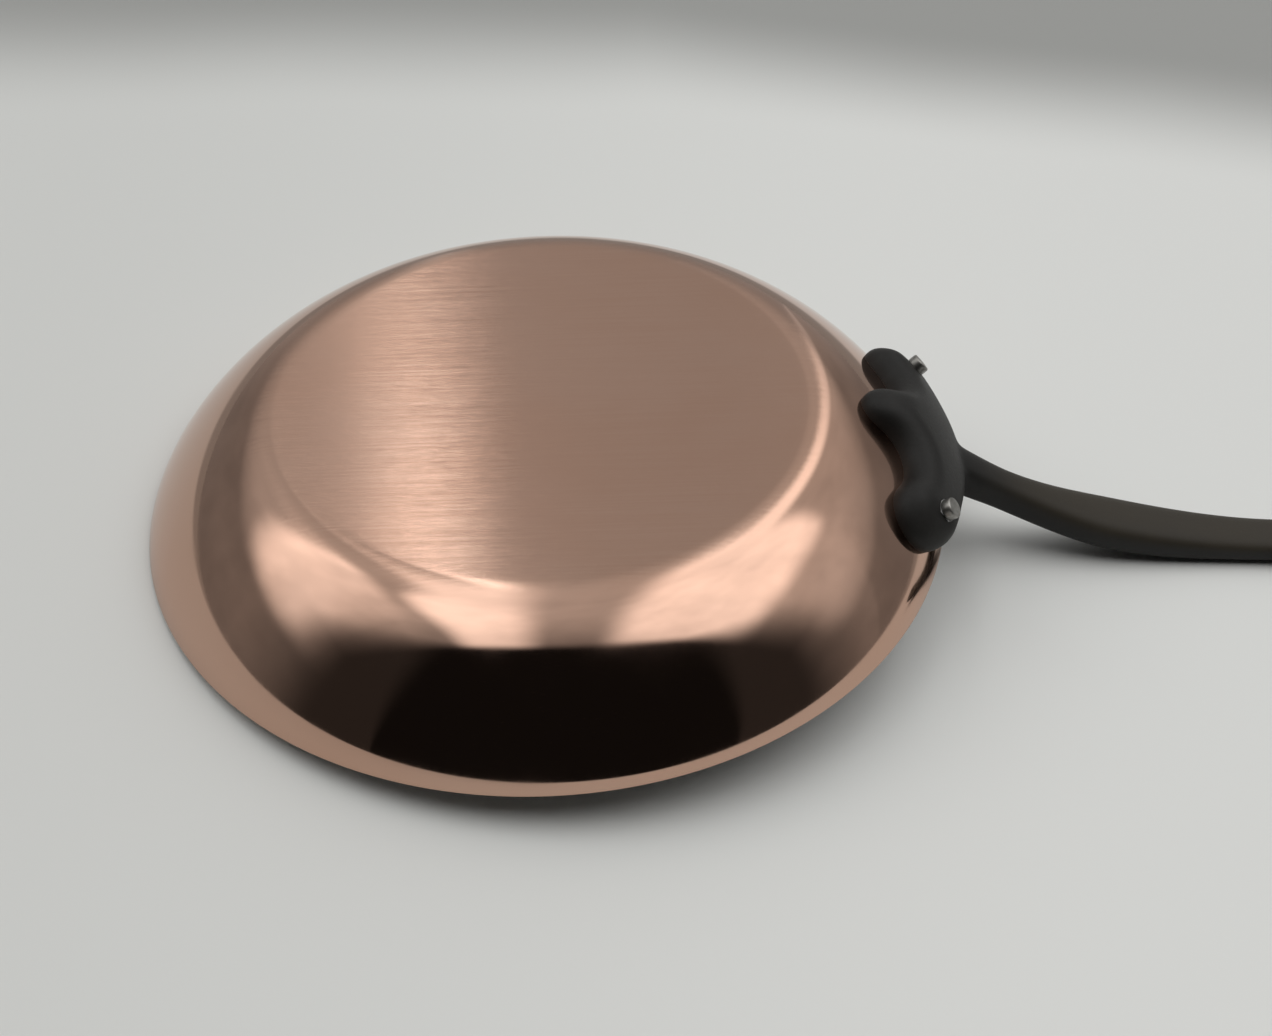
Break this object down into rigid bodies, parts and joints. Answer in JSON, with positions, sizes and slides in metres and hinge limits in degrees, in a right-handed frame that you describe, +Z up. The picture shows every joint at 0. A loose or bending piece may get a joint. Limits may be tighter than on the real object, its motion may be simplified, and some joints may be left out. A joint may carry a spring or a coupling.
{
  "type": "frying pan",
  "caption": "Shallow round copper frying pan with a steel lining and a flared wall, and a long curved cast-iron handle riveted on through a lobed plate, with a hanging eye at its tip.",
  "frame": {"origin": "middle of the base's flat outer face", "axes": "+X level, from the bowl towards the handle's tip; +Z up, with the pan upside down as it is pictured, resting on the rim across from the handle and on the crest of the stem; the bowl's own axis leans 5.59 degrees from Z towards -X"},
  "size_m": [0.4973, 0.28, 0.066],
  "materials": {
    "copper": null,
    "lining_steel": "stainless steel, finely brushed in rings",
    "iron": "matt dark grey casting with a fine grain",
    "rivet_steel": "satin steel"
  },
  "bodies": {
    "root": {"copper_shell": "copper", "steel_lining": "lining_steel", "iron_handle": "iron", "rivet_left": "rivet_steel", "rivet_right": "rivet_steel"}
  },
  "joints": []
}
